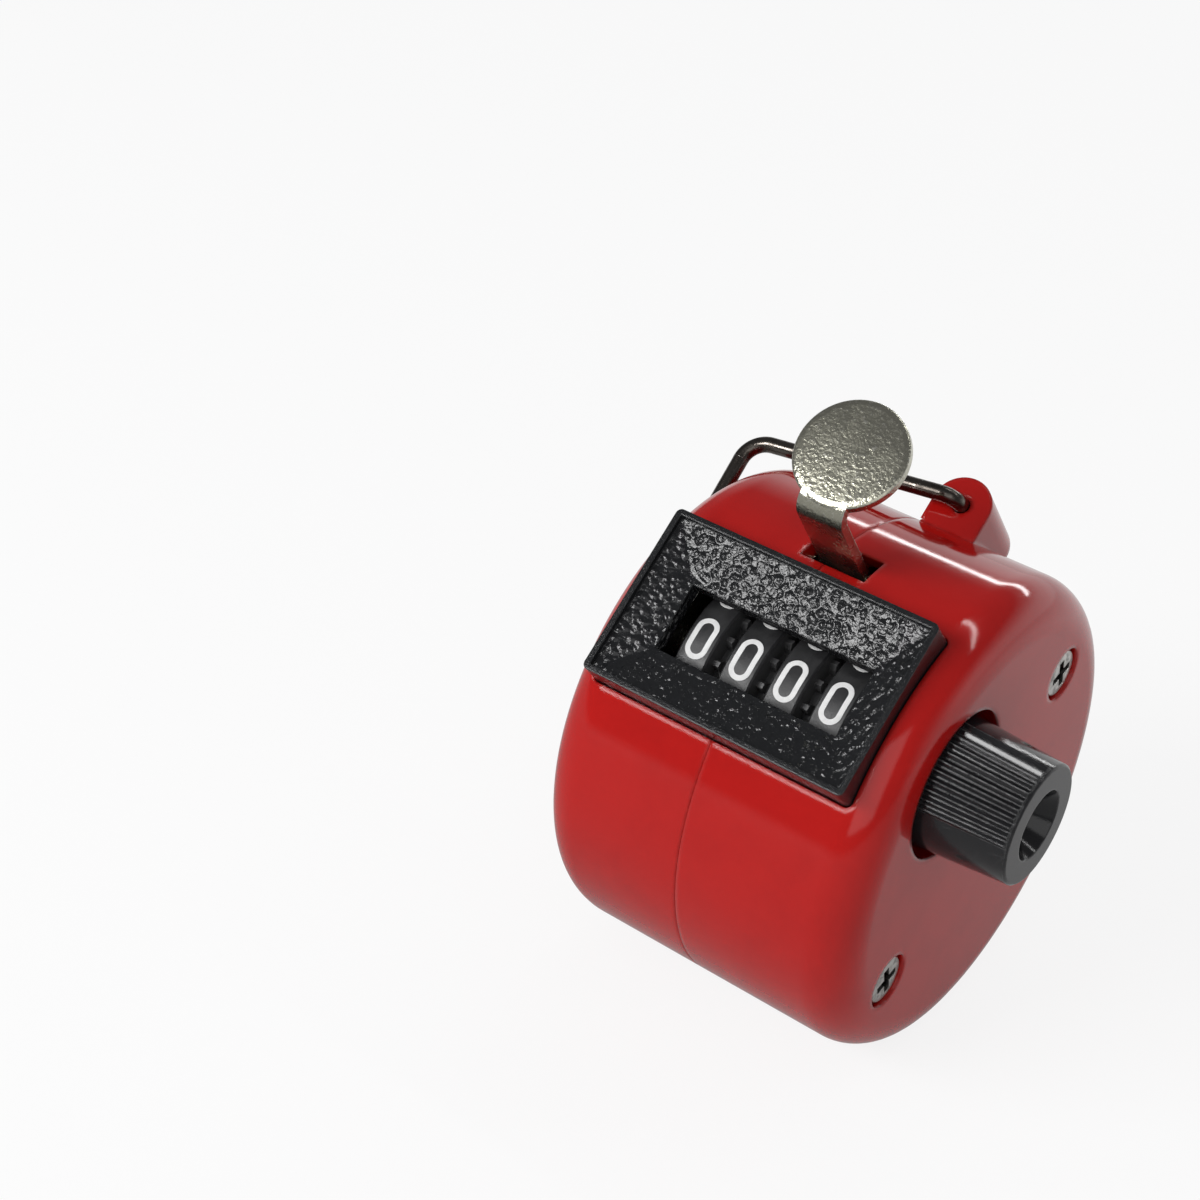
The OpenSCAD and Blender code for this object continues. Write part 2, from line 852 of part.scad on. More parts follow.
// Round elbow of the wire that turns from direction u to direction v at the corner p
module elbow(p, u, v, bend) {
  turn = acos(u * v);
  n = unit(cross(u, v));
  w = cross(n, u);
  c = p - u * bend * tan(turn / 2) + w * bend;
  multmatrix([[-w[0], u[0], n[0], c[0]], [-w[1], u[1], n[1], c[1]], [-w[2], u[2], n[2], c[2]], [0, 0, 0, 1]])
    rotate_extrude(angle = turn)
      translate([bend, 0])
        circle(r = wire_r, $fn = 24);
}

// Straight run of the wire from a to b, its section turned to match the elbow with the normal s
module wire(a, b, s) {
  d = unit(b - a);
  t = cross(d, s);
  multmatrix([[s[0], t[0], d[0], a[0]], [s[1], t[1], d[1], a[1]], [s[2], t[2], d[2], a[2]], [0, 0, 0, 1]])
    cylinder(r = wire_r - draw, h = norm(b - a), $fn = 24);
}

ring_points = [[lug_x, -3.6, lug_z], [lug_x, ring_front, lug_z], [ring_x, ring_front, corner_z],
               [ring_x + 0.5, ring_front, ring_end], [ring_x + 0.5, ring_back, ring_end],
               [ring_x, ring_back, corner_z], [lug_x, ring_back, lug_z], [lug_x, -1.5, lug_z]];
ring_bends = [0, 1.5, 2.2, 3, 3, 2.2, 1.5, 0];

module finger_ring() {
  p = ring_points;
  n = len(p);
  d = [for (i = [0 : n - 2]) unit(p[i + 1] - p[i])];
  cut = [for (i = [0 : n - 1])
         i == 0 || i == n - 1 ? 0 : ring_bends[i] * tan(acos(d[i - 1] * d[i]) / 2) - lap];
  normal = [for (i = [0 : n - 2]) unit(cross(d[max(i, 1) - 1], d[max(i, 1)]))];
  color("lightgray")
    stand()
      union() {
        for (i = [0 : n - 2])
          wire(p[i] + d[i] * cut[i], p[i + 1] - d[i] * cut[i + 1], normal[max(i, 1)]);
        for (i = [1 : n - 2])
          elbow(p[i], d[i - 1], d[i], ring_bends[i]);
      }
}

left_case();
right_case();
window_bezel();
thousands_wheel();
hundreds_wheel();
tens_wheel();
units_wheel();
thousands_pinion();
hundreds_pinion();
tens_pinion();
pinion_shaft();
wheel_shaft();
shaft_clip();
reset_knob();
thumb_lever();
lever_pins();
lever_spring();
drive_pawl();
pawl_pin();
pawl_spring();
backstop_spring();
case_screws();
finger_ring();
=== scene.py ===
# %% [markdown]
# # A tally counter in red, black and nickel
# The solids come from the CAD model: the case halves, the bezel, the number wheels, the lever, the ring
# and all the works inside. This lesson dresses them for a product shot. It paints the digits on the
# wheels, gives every piece a finish with its own grain, gloss and wear, and sets up the camera and the
# light. Everything is in metres, in the CAD model's own frame, so a new piece goes where the CAD says.

# %% Load the frame
import json
import math

import bmesh
import bpy
from mathutils import Matrix, Quaternion, Vector


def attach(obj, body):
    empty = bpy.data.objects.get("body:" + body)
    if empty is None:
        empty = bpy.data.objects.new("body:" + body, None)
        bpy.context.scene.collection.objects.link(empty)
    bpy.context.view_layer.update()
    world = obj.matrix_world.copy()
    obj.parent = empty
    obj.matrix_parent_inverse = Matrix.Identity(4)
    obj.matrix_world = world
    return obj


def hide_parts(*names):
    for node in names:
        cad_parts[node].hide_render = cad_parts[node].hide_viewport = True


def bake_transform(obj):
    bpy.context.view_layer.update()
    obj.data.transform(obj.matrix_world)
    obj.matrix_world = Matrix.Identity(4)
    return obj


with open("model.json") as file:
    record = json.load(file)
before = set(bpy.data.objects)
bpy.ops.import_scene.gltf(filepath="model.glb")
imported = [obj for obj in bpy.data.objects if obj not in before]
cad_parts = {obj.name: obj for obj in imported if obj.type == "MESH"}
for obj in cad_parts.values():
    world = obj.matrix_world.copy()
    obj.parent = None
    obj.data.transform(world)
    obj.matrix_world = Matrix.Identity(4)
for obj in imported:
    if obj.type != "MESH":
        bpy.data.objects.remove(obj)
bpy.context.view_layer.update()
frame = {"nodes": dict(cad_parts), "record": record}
MM = 0.001


def in_mm(point):
    """A point in metres, as rounded millimetres for printing."""
    return [round(value / MM, 2) for value in point]


# %% [markdown]
# ## Camera
# The camera comes first, because every later choice is judged through it. Its place and turn were found
# by fitting the corners of the bezel, the drum's outline and the knob. A lens of about 69 mm is a
# modest telephoto, which keeps the drum from looking swollen. Depth of field stays off.

# %% Camera
def add_object(name, data):
    """A new object in the scene that shows the given mesh, lamp or camera."""
    added = bpy.data.objects.new(name, data)
    bpy.context.scene.collection.objects.link(added)
    return added


camera_data = bpy.data.cameras.new("portrait_camera")
camera_data.lens = 68.5855
camera_data.sensor_width = 36
camera_data.clip_start = 0.01
camera = add_object("portrait_camera", camera_data)
camera.rotation_mode = "QUATERNION"
camera.location = (0.072855, -0.144084, 0.128938)
camera.rotation_quaternion = Quaternion((0.816498, 0.477044, 0.117331, 0.303305))
bpy.context.scene.camera = camera
print("camera is", round(camera.location.length / MM), "mm from the middle of the foot")

# %% [markdown]
# ## The window's own frame
# The drum stands on a flat and its window leans back, so digits and grain are easier to place square to
# the window: x to the right, y into the case, z up the window, with the origin on the wheels' axis. The
# axis is read from the joint that turns the units wheel, and one matrix takes any point back to the
# scene.

# %% The leaning frame
LEAN = math.radians(48)


def joint_place(name):
    """The point in the scene that a joint of the record turns about."""
    joint = next(j for j in frame["record"]["behaviour"]["joints"] if j["name"] == name)
    return Vector(joint["pos_m"])


wheel_axis = joint_place("units_turn")
window_to_scene = Matrix.Translation(wheel_axis) @ Matrix.Rotation(-LEAN, 4, "X")
print("wheel axis in mm:", in_mm(wheel_axis))

# %% [markdown]
# ## Strokes of the digits
# The wheels carry plain white digits. A font would bring a letter style with it, so each digit is drawn
# as one or two strokes, as an engraver's cutter would run: straight runs and parts of ellipses. They
# are drawn on the flat with the middle of the digit at zero, and the next cell scales the drawing to
# millimetres.

# %% Strokes
ARC_STEP = 8


def arc(x, y, across, up, start, end):
    """Points on part of an ellipse, from one angle to another in degrees."""
    steps = max(4, round(abs(end - start) / ARC_STEP))
    turns = [math.radians(start + (end - start) * k / steps) for k in range(steps + 1)]
    return [(x + across * math.cos(t), y + up * math.sin(t)) for t in turns]


def turned(stroke):
    """The stroke turned by half a turn, as a six becomes a nine."""
    return [(-x, -y) for x, y in stroke]


zero = arc(0, 0.9, 0.8, 0.8, 0, 180) + arc(0, -0.9, 0.8, 0.8, 180, 360) + [(0.8, 0.9)]
six_bowl = arc(0, -0.75, 0.8, 0.95, 180, 540)
six_stem = [(-0.8, -0.75), (-0.8, 0.7)] + arc(0, 0.9, 0.8, 0.8, 180, 25)
DIGITS = [
    [zero],
    [[(0, -1.7), (0, 1.7)]],
    [arc(0, 0.9, 0.8, 0.8, 165, -25) + [(-0.8, -1.7), (0.8, -1.7)]],
    [arc(0, 0.85, 0.75, 0.85, 150, -90), arc(0, -0.8, 0.8, 0.9, 90, -150)],
    [[(0.45, -1.7), (0.45, 1.7), (-0.85, -0.7), (0.85, -0.7)]],
    [[(0.7, 1.7), (-0.6, 1.7), (-0.68, 0.2)] + arc(0, -0.6, 0.8, 1.1, 140, -145)],
    [six_bowl, six_stem],
    [[(-0.8, 1.7), (0.8, 1.7), (-0.3, -1.7)]],
    [arc(0, 0.85, 0.68, 0.85, 0, 360), arc(0, -0.8, 0.8, 0.9, 90, 450)],
    [turned(six_bowl), turned(six_stem)],
]
print(len(DIGITS), "digits,", sum(len(strokes) for strokes in DIGITS), "strokes")

# %% [markdown]
# ## From stroke to ribbon
# A stroke becomes a ribbon of constant width. The path is first cut into short steps, because the
# ribbon will be bent round a wheel, and each point then moves to both sides along the corner's
# bisector. A sharp corner would throw its outer point far out, so that reach is limited. Lengths are in
# millimetres.

# %% Ribbon edges
DIGIT_SCALE = 0.95
STROKE = 0.44
STEP = 0.22
MITRE_LIMIT = 1.6
SAME_POINT = 1e-4


def in_short_steps(path):
    """The path in millimetres, with no step longer than STEP."""
    corners = [Vector(point) * DIGIT_SCALE for point in path]
    points = corners[:1]
    for target in corners[1:]:
        origin = points[-1]
        run = target - origin
        if run.length < SAME_POINT:
            continue
        count = math.ceil(run.length / STEP)
        points += [origin + run * (k + 1) / count for k in range(count)]
    return points


def ribbon_edges(path):
    """Left and right edge points of a ribbon along the path, and whether it closes on itself."""
    points = in_short_steps(path)
    closed = (points[0] - points[-1]).length < SAME_POINT
    if closed:
        points.pop()
    runs = [(after - point).normalized() for point, after in zip(points, points[1:] + points[:1])]
    if not closed:
        runs[-1] = runs[-2]
    sides = []
    for k, point in enumerate(points):
        run_before = runs[k - 1] if closed or k else runs[0]
        along = (run_before + runs[k]).normalized()
        reach = STROKE / 2 / max(along.dot(runs[k]), 1 / MITRE_LIMIT)
        across = Vector((-along.y, along.x)) * reach
        sides.append((point + across, point - across))
    return sides, closed


print("the zero's ribbon has", len(ribbon_edges(zero)[0]), "steps")

# %% [markdown]
# ## Digits round the wheels
# On the real wheels the digits are hot-stamped: a thin layer of white paint on black plastic. A flat
# decal would need an image, so each ribbon is bent round the wheel as a thin closed strip that stands
# 0.015 mm proud. Where two strokes of a digit cross, the second lies a hair higher, so that no faces
# coincide. Each wheel has its own object that rides on the wheel's body, and the next digit follows a
# tenth of a turn below.

# %% Strips of paint
WHEEL_RADIUS = 8.1
PAINT = 0.015
SINK = 0.03
LAYER = 0.003


def on_wheel(wheel_x, digit, point, radius):
    """A point of a digit's flat drawing, bent round the wheel and placed in the scene."""
    turn = point.y / WHEEL_RADIUS - digit * math.tau / len(DIGITS)
    local = Vector((wheel_x + point.x, -radius * math.cos(turn), radius * math.sin(turn)))
    return window_to_scene @ (local * MM)


def add_strip(bm, wheel_x, digit, stroke, layer):
    """One closed strip of paint along one stroke."""
    sides, closed = ribbon_edges(stroke)
    outer = WHEEL_RADIUS + PAINT + layer * LAYER
    inner = WHEEL_RADIUS - SINK
    rings = []
    for left, right in sides:
        corners = [(left, outer), (right, outer), (right, inner), (left, inner)]
        rings.append([bm.verts.new(on_wheel(wheel_x, digit, p, r)) for p, r in corners])
    next_rings = rings[1:] + rings[:1] if closed else rings[1:]
    for ring, next_ring in zip(rings, next_rings):
        for k in range(4):
            bm.faces.new((ring[k], ring[(k + 1) % 4], next_ring[(k + 1) % 4], next_ring[k]))
    if not closed:
        bm.faces.new(rings[0][::-1])
        bm.faces.new(rings[-1])


print("paint reaches", WHEEL_RADIUS + PAINT, "mm from the wheels' axis")

# %% Digits on the wheels
WHEEL_PITCH = 4.2
wheels = ["thousands", "hundreds", "tens", "units"]


def mesh_from(bm, name):
    """Turns a finished bmesh into a mesh, and lets go of it."""
    mesh = bpy.data.meshes.new(name)
    bm.to_mesh(mesh)
    bm.free()
    return mesh


def make_digits(column, body):
    """All ten digits of one wheel, as one object that rides on the wheel's body."""
    bm = bmesh.new()
    wheel_x = (column - (len(wheels) - 1) / 2) * WHEEL_PITCH
    for digit, strokes in enumerate(DIGITS):
        for layer, stroke in enumerate(strokes):
            add_strip(bm, wheel_x, digit, stroke, layer)
    bmesh.ops.recalc_face_normals(bm, faces=bm.faces)
    digits = add_object(body + "_digits", mesh_from(bm, body + "_digits"))
    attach(digits, body)
    return digits


digit_pieces = [make_digits(column, body) for column, body in enumerate(wheels)]
print("painted digits:", {piece.name: len(piece.data.polygons) for piece in digit_pieces})

# %% [markdown]
# ## A short way to add nodes
# Materials below are made of shader nodes. One helper adds a node, sets its options and sets or links
# its inputs in one call, so that a material reads from top to bottom like a recipe. The others are
# short names for the nodes that come back most often.

# %% Node helper
def put(tree, kind, inputs=None, **options):
    """Adds a shader node. Inputs that are sockets are linked, and others are set."""
    node = tree.nodes.new("ShaderNode" + kind)
    for name, value in options.items():
        setattr(node, name, value)
    for socket, value in (inputs or {}).items():
        if isinstance(value, bpy.types.NodeSocket):
            tree.links.new(value, node.inputs[socket])
        else:
            node.inputs[socket].default_value = value
    return node


print("node helper ready")

# %% Short names for common nodes
def math_node(tree, operation, *values):
    """The result of one Math node on two or three values."""
    return put(tree, "Math", dict(enumerate(values)), operation=operation).outputs[0]


def vector_node(tree, operation, *vectors):
    """The outputs of one Vector Math node: Vector, and Value for lengths and dot products."""
    return put(tree, "VectorMath", dict(enumerate(vectors)), operation=operation).outputs


def axes_of(tree, vector):
    """The X, Y and Z of a vector."""
    return put(tree, "SeparateXYZ", {0: vector}).outputs


def noise(tree, where, **inputs):
    """A cloudy value between about 0 and 1."""
    return put(tree, "TexNoise", {"Vector": where, **inputs}).outputs["Fac"]


def spread(tree, value, low, high, to_low=0.0, to_high=1.0):
    """Takes a value's range from low to high into another range, and stops at its ends."""
    limits = {"Value": value, "From Min": low, "From Max": high, "To Min": to_low, "To Max": to_high}
    return put(tree, "MapRange", limits).outputs["Result"]


def mix_colours(tree, factor, first, second):
    """Goes from the first colour to the second as the factor goes from 0 to 1."""
    return put(tree, "Mix", {0: factor, 6: first, 7: second}, data_type="RGBA").outputs[2]


print("short names ready")

# %% [markdown]
# ## Shared effects as node groups
# Smudges, scratches, grain and worn edges come back in most of the finishes. Each is built once as a
# node group with named inputs and outputs, and a material then places the group with its own values.

# %% Group helpers
def new_group(name, inputs, outputs):
    """An empty node group with named inputs (value, or None for a vector) and outputs."""
    group = bpy.data.node_groups.new(name, "ShaderNodeTree")
    for label, value in inputs.items():
        kind = "NodeSocketVector" if value is None else "NodeSocketFloat"
        socket = group.interface.new_socket(label, in_out="INPUT", socket_type=kind)
        if value is not None:
            socket.default_value = value
    for label, kind in outputs.items():
        group.interface.new_socket(label, in_out="OUTPUT", socket_type="NodeSocket" + kind)
    start = group.nodes.new("NodeGroupInput").outputs
    end = group.nodes.new("NodeGroupOutput").inputs
    return group, start, end


def use_group(tree, group, **inputs):
    """Places a node group in a material with its own values, and gives its outputs."""
    return put(tree, "Group", inputs, node_tree=group).outputs


print("group helpers ready")

# %% [markdown]
# ## Where on the counter?
# Grain has to have a real size, so every finish works in millimetres. This group turns a point of the
# object into the window's frame in millimetres. Object coordinates are used, because they ride with the
# piece when it moves.

# %% Group: place on the counter
window_place, _, end = new_group("window_place", {}, {"Millimetres": "Vector"})
object_place = put(window_place, "TexCoord").outputs["Object"]
shift = Matrix.Rotation(LEAN, 3, "X") @ wheel_axis * -1 / MM
turned_place = put(window_place, "Mapping", {"Vector": object_place, "Location": shift,
                                             "Rotation": (LEAN, 0, 0), "Scale": (1 / MM,) * 3})
window_place.links.new(turned_place.outputs[0], end["Millimetres"])
print("group", window_place.name)

# %% [markdown]
# ## Finger smudges
# Gloss on a thing that is held all day is never even: fingers leave dull clouds of skin grease. One
# noise with several layers of detail gives the clouds, and the values round their middle become the
# soft border of a mask. A higher Sharpness makes that border narrower. Every finish below uses the mask
# to change its roughness, and most use it to change the colour too.

# %% Group: finger smudges
CLOUD_BORDER = 0.52
SOFTEST_BORDER = 0.2
BORDER_PER_SHARPNESS = -0.16

smudges, start, end = new_group("finger_smudges", {"Place": None, "Size": 6.0, "Sharpness": 0.5},
                                {"Mask": "Float"})
pitch = math_node(smudges, "DIVIDE", 1.0, start["Size"])
clouds = noise(smudges, start["Place"], Scale=pitch, Detail=5.0, Roughness=0.62, Distortion=0.6)
half_border = math_node(smudges, "MULTIPLY_ADD", start["Sharpness"], BORDER_PER_SHARPNESS, SOFTEST_BORDER)
low = math_node(smudges, "SUBTRACT", CLOUD_BORDER, half_border)
high = math_node(smudges, "ADD", CLOUD_BORDER, half_border)
smudges.links.new(spread(smudges, clouds, low, high), end["Mask"])
print("group", smudges.name)

# %% [markdown]
# ## Hairline scratches
# Pocket scratches are long, thin and run every way. Noise that is squeezed along one axis and stretched
# along the others is made of thin sheets, and a surface cuts them in long lines. Only the crests of the
# noise are kept, which take up about an eighth of each wave. Three such noises, turned against each
# other, cross.

# %% Group: hairlines
LINE_TURNS = [(0.3, 0.5, 0.2), (1.4, 0.2, 1.1), (0.8, 1.7, 2.3)]
CREST_SHARE = 0.12
CREST_FOOT = 0.69
CREST_TOP = 0.73

hairlines, start, end = new_group(
    "hairlines", {"Place": None, "Length": 5.0, "Width": 0.05, "Amount": 0.5}, {"Mask": "Float"})
across_scale = math_node(hairlines, "DIVIDE", CREST_SHARE, start["Width"])
along_scale = math_node(hairlines, "DIVIDE", 1.0, start["Length"])
scale = put(hairlines, "CombineXYZ", {"X": along_scale, "Y": across_scale, "Z": along_scale}).outputs[0]
lines = 0.0
for turn in LINE_TURNS:
    aim = {"Vector": start["Place"], "Rotation": turn}
    aimed = put(hairlines, "VectorRotate", aim, rotation_type="EULER_XYZ").outputs[0]
    squeezed = vector_node(hairlines, "MULTIPLY", aimed, scale)["Vector"]
    sheets = noise(hairlines, squeezed, Scale=1.0, Detail=1.0)
    line = spread(hairlines, sheets, CREST_FOOT, CREST_TOP)
    lines = math_node(hairlines, "MAXIMUM", lines, line)
hairlines.links.new(math_node(hairlines, "MULTIPLY", lines, start["Amount"]), end["Mask"])
print("group", hairlines.name)

# %% [markdown]
# ## Moulded grain
# A mould for textured plastic is etched, which leaves small rounded bumps with narrow valleys. A smooth
# pattern of cells has just that form. One noise bends the cells and a finer one roughens them, so that
# they don't look regular. The group gives a height for a Bump node, and specks of dust for the colour.

# %% Group: moulded grain
CELL_BEND = (0.5, 0.5, 0.5)
FINER = 1.7
FINE_SHARE = 0.6

grain, start, end = new_group("moulded_grain", {"Place": None, "Size": 0.45},
                              {"Height": "Float", "Speck": "Float"})
pitch = math_node(grain, "DIVIDE", 1.0, start["Size"])
warp = put(grain, "TexNoise", {"Vector": start["Place"], "Scale": pitch, "Detail": 2.0}).outputs["Color"]
push = vector_node(grain, "MULTIPLY", warp, CELL_BEND)["Vector"]
bent_place = vector_node(grain, "ADD", start["Place"], push)["Vector"]
cells = put(grain, "TexVoronoi", {"Vector": bent_place, "Scale": pitch, "Smoothness": 0.4},
            feature="SMOOTH_F1")
bumps = spread(grain, cells.outputs["Distance"], 0.1, 0.75, 1.0, 0.0)
fine = noise(grain, start["Place"], Scale=math_node(grain, "MULTIPLY", pitch, FINER), Detail=1.0)
grain.links.new(math_node(grain, "MULTIPLY_ADD", fine, FINE_SHARE, bumps), end["Height"])
grain.links.new(spread(grain, fine, 0.55, 0.75), end["Speck"])
print("group", grain.name)

# %% [markdown]
# ## Rounded edges and rub marks
# Real edges are never perfectly sharp. A Bevel node bends the normal near an edge without touching the
# mesh, so edges catch the light. Where that bent normal leaves the true one, there is an edge, and that
# is also the mask for wear: handling polishes plastic there and rubs plating thin. A noise makes the
# wear patchy.

# %% Group: edges
EDGE_BEGINS = 0.995
EDGE_FULL = 0.9

edges, start, end = new_group("soft_edges", {"Radius": 0.15, "Place": None},
                              {"Normal": "Vector", "Rub": "Float"})
radius = math_node(edges, "MULTIPLY", start["Radius"], MM)
bevel = put(edges, "Bevel", {"Radius": radius}, samples=6).outputs["Normal"]
true_normal = put(edges, "NewGeometry").outputs["Normal"]
likeness = vector_node(edges, "DOT_PRODUCT", bevel, true_normal)["Value"]
edge_mask = spread(edges, likeness, EDGE_BEGINS, EDGE_FULL)
patches = spread(edges, noise(edges, start["Place"], Scale=1.3, Detail=4.0), 0.35, 0.6)
edges.links.new(bevel, end["Normal"])
edges.links.new(math_node(edges, "MULTIPLY", edge_mask, patches), end["Rub"])
print("group", edges.name)

# %% [markdown]
# ## A material to start from
# Every finish starts with the same few nodes: the shader, the place in millimetres and the soft edges.
# The finish then only says what is special about it: which colours lie over each other, what makes it
# rougher, and what bumps it has. Bump depths are given in millimetres, as the grain sizes are.

# %% Material helpers
def new_finish(name, edge_radius, **constants):
    """A material with its shader, its place and soft edges. Constants go on the shader's sockets."""
    material = bpy.data.materials.new(name)
    material.use_nodes = True
    tree = material.node_tree
    shader = tree.nodes["Principled BSDF"]
    for socket, value in constants.items():
        shader.inputs[socket].default_value = value
    spot = use_group(tree, window_place)["Millimetres"]
    edge = use_group(tree, edges, Radius=edge_radius, Place=spot)
    return material, tree, shader, spot, edge


def layered(tree, colour, *layers):
    """A colour with others laid over it. Each layer is a mask, the mask's strength and a colour."""
    for mask, strength, over in layers:
        share = math_node(tree, "MULTIPLY", mask, strength)
        colour = mix_colours(tree, share, colour, over)
    return colour


def roughened(tree, roughness, *marks):
    """A roughness with marks on it. Each mark is a mask and the roughness that it adds."""
    for mask, added in marks:
        roughness = math_node(tree, "MULTIPLY_ADD", mask, added, roughness)
    return roughness


def bumped(tree, height, depth, normal):
    """A bump of the given depth in millimetres on top of another normal."""
    bump = put(tree, "Bump", {"Height": height, "Distance": depth * MM, "Normal": normal})
    return bump.outputs["Normal"]


def skin(tree, spot, size, depth, normal):
    """A very shallow moulded grain, so that a surface isn't perfectly smooth."""
    return bumped(tree, use_group(tree, grain, Place=spot, Size=size)["Height"], depth, normal)


print("material helpers ready")

# %% Putting a finish on
def wire_up(tree, shader, colour, roughness, normal):
    """Links what a finish has made to the shader."""
    for socket, value in (("Base Color", colour), ("Roughness", roughness), ("Normal", normal)):
        tree.links.new(value, shader.inputs[socket])


def dress(material, *names):
    """Puts a material in every slot of the named CAD nodes."""
    for name in names:
        mesh = frame["nodes"][name].data
        if not mesh.materials:
            mesh.materials.append(material)
        for k in range(len(mesh.materials)):
            mesh.materials[k] = material


print(len(frame["nodes"]), "CAD nodes to dress")

# %% [markdown]
# ## Red case
# The case is injection-moulded ABS: deep red and glossy. Its gloss isn't quite a mirror, because the
# mould's polish leaves a very shallow waviness that bends each reflection. Smudges dull it, hairlines
# cross it, and rubbed edges are a little lighter.

# %% Red case
RED = (0.40, 0.0075, 0.006, 1)
RED_DEEP = (0.37, 0.0062, 0.005, 1)
RED_RUBBED = (0.47, 0.022, 0.018, 1)
RED_ROUGHNESS = 0.065
WAVE_DEPTH = 0.004

red_plastic, tree, shader, spot, edge = new_finish("red_gloss_plastic", edge_radius=0.6, IOR=1.5)
smudge = use_group(tree, smudges, Place=spot, Size=7.0)["Mask"]
scratch = use_group(tree, hairlines, Place=spot, Length=9.0, Width=0.05, Amount=0.1)["Mask"]
red = layered(tree, RED, (smudge, 1.0, RED_DEEP), (edge["Rub"], 0.5, RED_RUBBED))
gloss = roughened(tree, RED_ROUGHNESS, (smudge, 0.04), (scratch, 0.25))
waves = bumped(tree, noise(tree, spot, Scale=0.55, Detail=2.0), WAVE_DEPTH, edge["Normal"])
wire_up(tree, shader, red, gloss, waves)
dress(red_plastic, "left_case", "right_case")
print("finish", red_plastic.name)

# %% [markdown]
# ## Black bezel
# The bezel is one moulding with two finishes: a smooth satin rim and four slopes with a strong etched
# grain. The grain is placed by depth: whatever lies inside the rim and below it is a slope. The light
# that rakes the upper slope makes its grain sparkle, so it needs real height, not only a spotted
# colour.

# %% Black bezel
BEZEL_MIDDLE = (-0.3, 0, 0.55)
SLOPE_HALF = (11.62, 0, 7.02)
RIM_PLANE = -11.4
GRAIN_BEGINS = RIM_PLANE + 0.25
GRAIN_FULL = RIM_PLANE + 0.45
BLACK = (0.009, 0.0095, 0.0105, 1)
BLACK_WORN = (0.035, 0.036, 0.038, 1)
BEZEL_ROUGHNESS = 0.15
ETCHED_SIZE = 0.62
SATIN_SIZE = 0.16
SATIN_SHARE = 0.05
ETCHED_DEPTH = 0.115

black_bezel, tree, shader, spot, edge = new_finish("black_grained_plastic", edge_radius=0.2, IOR=1.5)
from_middle = vector_node(tree, "SUBTRACT", spot, BEZEL_MIDDLE)["Vector"]
away = vector_node(tree, "ABSOLUTE", from_middle)["Vector"]
to_border = axes_of(tree, vector_node(tree, "SUBTRACT", SLOPE_HALF, away)["Vector"])
inside = spread(tree, math_node(tree, "MINIMUM", to_border["X"], to_border["Z"]), 0.0, 0.06)
sunk = spread(tree, axes_of(tree, spot)["Y"], GRAIN_BEGINS, GRAIN_FULL)
slope = math_node(tree, "MULTIPLY", inside, sunk)
etched = use_group(tree, grain, Place=spot, Size=ETCHED_SIZE)
satin = use_group(tree, grain, Place=spot, Size=SATIN_SIZE)
slope_height = math_node(tree, "MULTIPLY", etched["Height"], slope)
height = math_node(tree, "MULTIPLY_ADD", satin["Height"], SATIN_SHARE, slope_height)
smudge = use_group(tree, smudges, Place=spot, Size=4.0)["Mask"]
black = layered(tree, BLACK, (edge["Rub"], 0.7, BLACK_WORN), (etched["Speck"], 0.1, BLACK_WORN))
gloss = roughened(tree, BEZEL_ROUGHNESS, (smudge, 0.08))
wire_up(tree, shader, black, gloss, bumped(tree, height, ETCHED_DEPTH, edge["Normal"]))
dress(black_bezel, "window_bezel")
print("finish", black_bezel.name)

# %% [markdown]
# ## Black knob
# The knob is turned by finger and thumb, so its ridges are polished and the valleys hold dull
# grease. The rub mask does both: it lightens the ridges a little, partly as wear and partly as a painted
# highlight along each ridge, and makes them glossier.

# %% Black knob
KNOB_BLACK = (0.011, 0.011, 0.012, 1)
KNOB_WEAR_AND_SHEEN = (0.085, 0.085, 0.086, 1)
KNOB_ROUGHNESS = 0.11

black_knob, tree, shader, spot, edge = new_finish("black_knob_plastic", edge_radius=0.22, IOR=1.5)
smudge = use_group(tree, smudges, Place=spot, Size=3.0)["Mask"]
scratch = use_group(tree, hairlines, Place=spot, Length=3.0, Width=0.04, Amount=0.25)["Mask"]
# The ridges' edges and the scratches get a lighter grey: wear, and on the ridges partly a painted
# highlight.
black = layered(tree, KNOB_BLACK, (edge["Rub"], 0.8, KNOB_WEAR_AND_SHEEN), (scratch, 0.3, KNOB_WEAR_AND_SHEEN))
gloss = roughened(tree, KNOB_ROUGHNESS, (smudge, 0.05), (edge["Rub"], -0.05))
wire_up(tree, shader, black, gloss, skin(tree, spot, size=0.2, depth=0.002, normal=edge["Normal"]))
dress(black_knob, "reset_knob")
print("finish", black_knob.name)

# %% [markdown]
# ## Number wheels and their paint
# The wheels are satin black, and their flanks are painted a lighter grey, as painted light that lifts
# the shade in the gaps between the wheels. The distance from the wheels' axis tells the two apart. The
# digits are matt white paint that is a touch uneven, as stamped foil is.

# %% Wheels
WHEEL_BLACK = (0.016, 0.016, 0.017, 1)
WHEEL_DUST = (0.055, 0.055, 0.056, 1)
FLANK_PAINTED_LIGHT = (0.065, 0.065, 0.066, 1)
WHEEL_ROUGHNESS = 0.36
FLANK_FULL = WHEEL_RADIUS - 0.3
FLANK_ENDS = WHEEL_RADIUS - 0.1

wheel_black, tree, shader, spot, edge = new_finish("wheel_satin_plastic", edge_radius=0.08, IOR=1.5)
smudge = use_group(tree, smudges, Place=spot, Size=2.0)["Mask"]
from_axis = vector_node(tree, "MULTIPLY", spot, (0, 1, 1))["Vector"]
radius = vector_node(tree, "LENGTH", from_axis)["Value"]
